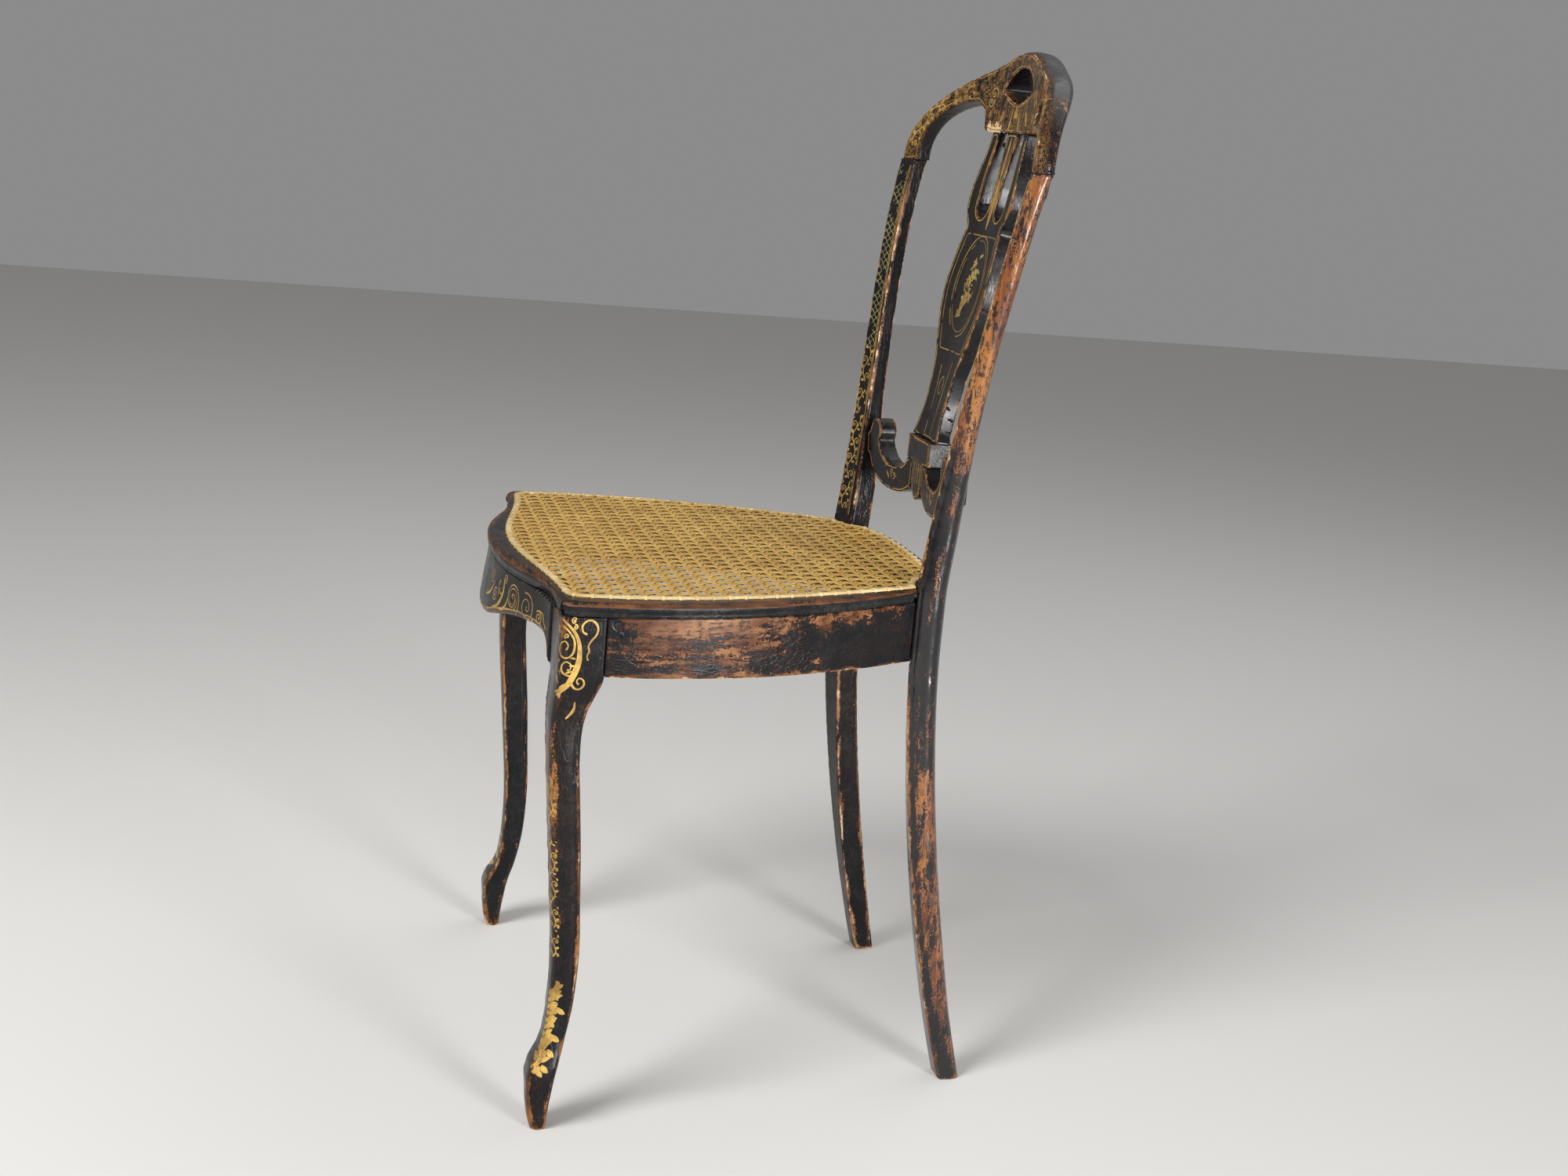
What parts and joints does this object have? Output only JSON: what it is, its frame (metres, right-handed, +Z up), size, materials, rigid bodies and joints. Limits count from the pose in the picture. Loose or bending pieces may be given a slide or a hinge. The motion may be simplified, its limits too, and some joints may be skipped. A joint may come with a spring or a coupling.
{
  "type": "peeling paint chair",
  "caption": "Cane-seated side chair with an arched openwork back, scrolled cross rail, cabriole front legs and raked rear legs.",
  "frame": {"origin": "on the floor under the middle of the chair's bounding box", "axes": "+Z up, -Y out of the front of the chair, +X to the sitter's left"},
  "size_m": [0.455, 0.4756, 0.9038],
  "materials": {
    "black_paint": "old black gloss paint over wood, crazed and worn through at the edges",
    "gilding": "thin worn gilt paint",
    "worn_frame": "black paint rubbed through to brown wood",
    "cane": "varnished golden cane",
    "cane_binder": "pale binding cane",
    "bare_wood": "unfinished wood"
  },
  "bodies": {
    "root": {"front_leg_left": "black_paint", "front_leg_right": "black_paint", "rear_leg_left": "black_paint", "rear_leg_right": "black_paint", "crest_rail": "black_paint", "splat": "black_paint", "cross_block": "black_paint", "cross_scroll_left": "black_paint", "cross_scroll_right": "black_paint", "apron_front": "black_paint", "apron_left": "black_paint", "apron_right": "black_paint", "apron_back": "black_paint", "cane_frame_front": "worn_frame", "cane_frame_left": "worn_frame", "cane_frame_right": "worn_frame", "cane_frame_back": "worn_frame", "cane_panel": "cane", "cane_binder": "cane_binder", "corner_blocks": "bare_wood", "apron_dowels": "bare_wood", "crest_dowels": "bare_wood", "scroll_dowels": "bare_wood", "rail_plugs": "worn_frame"}
  },
  "joints": []
}
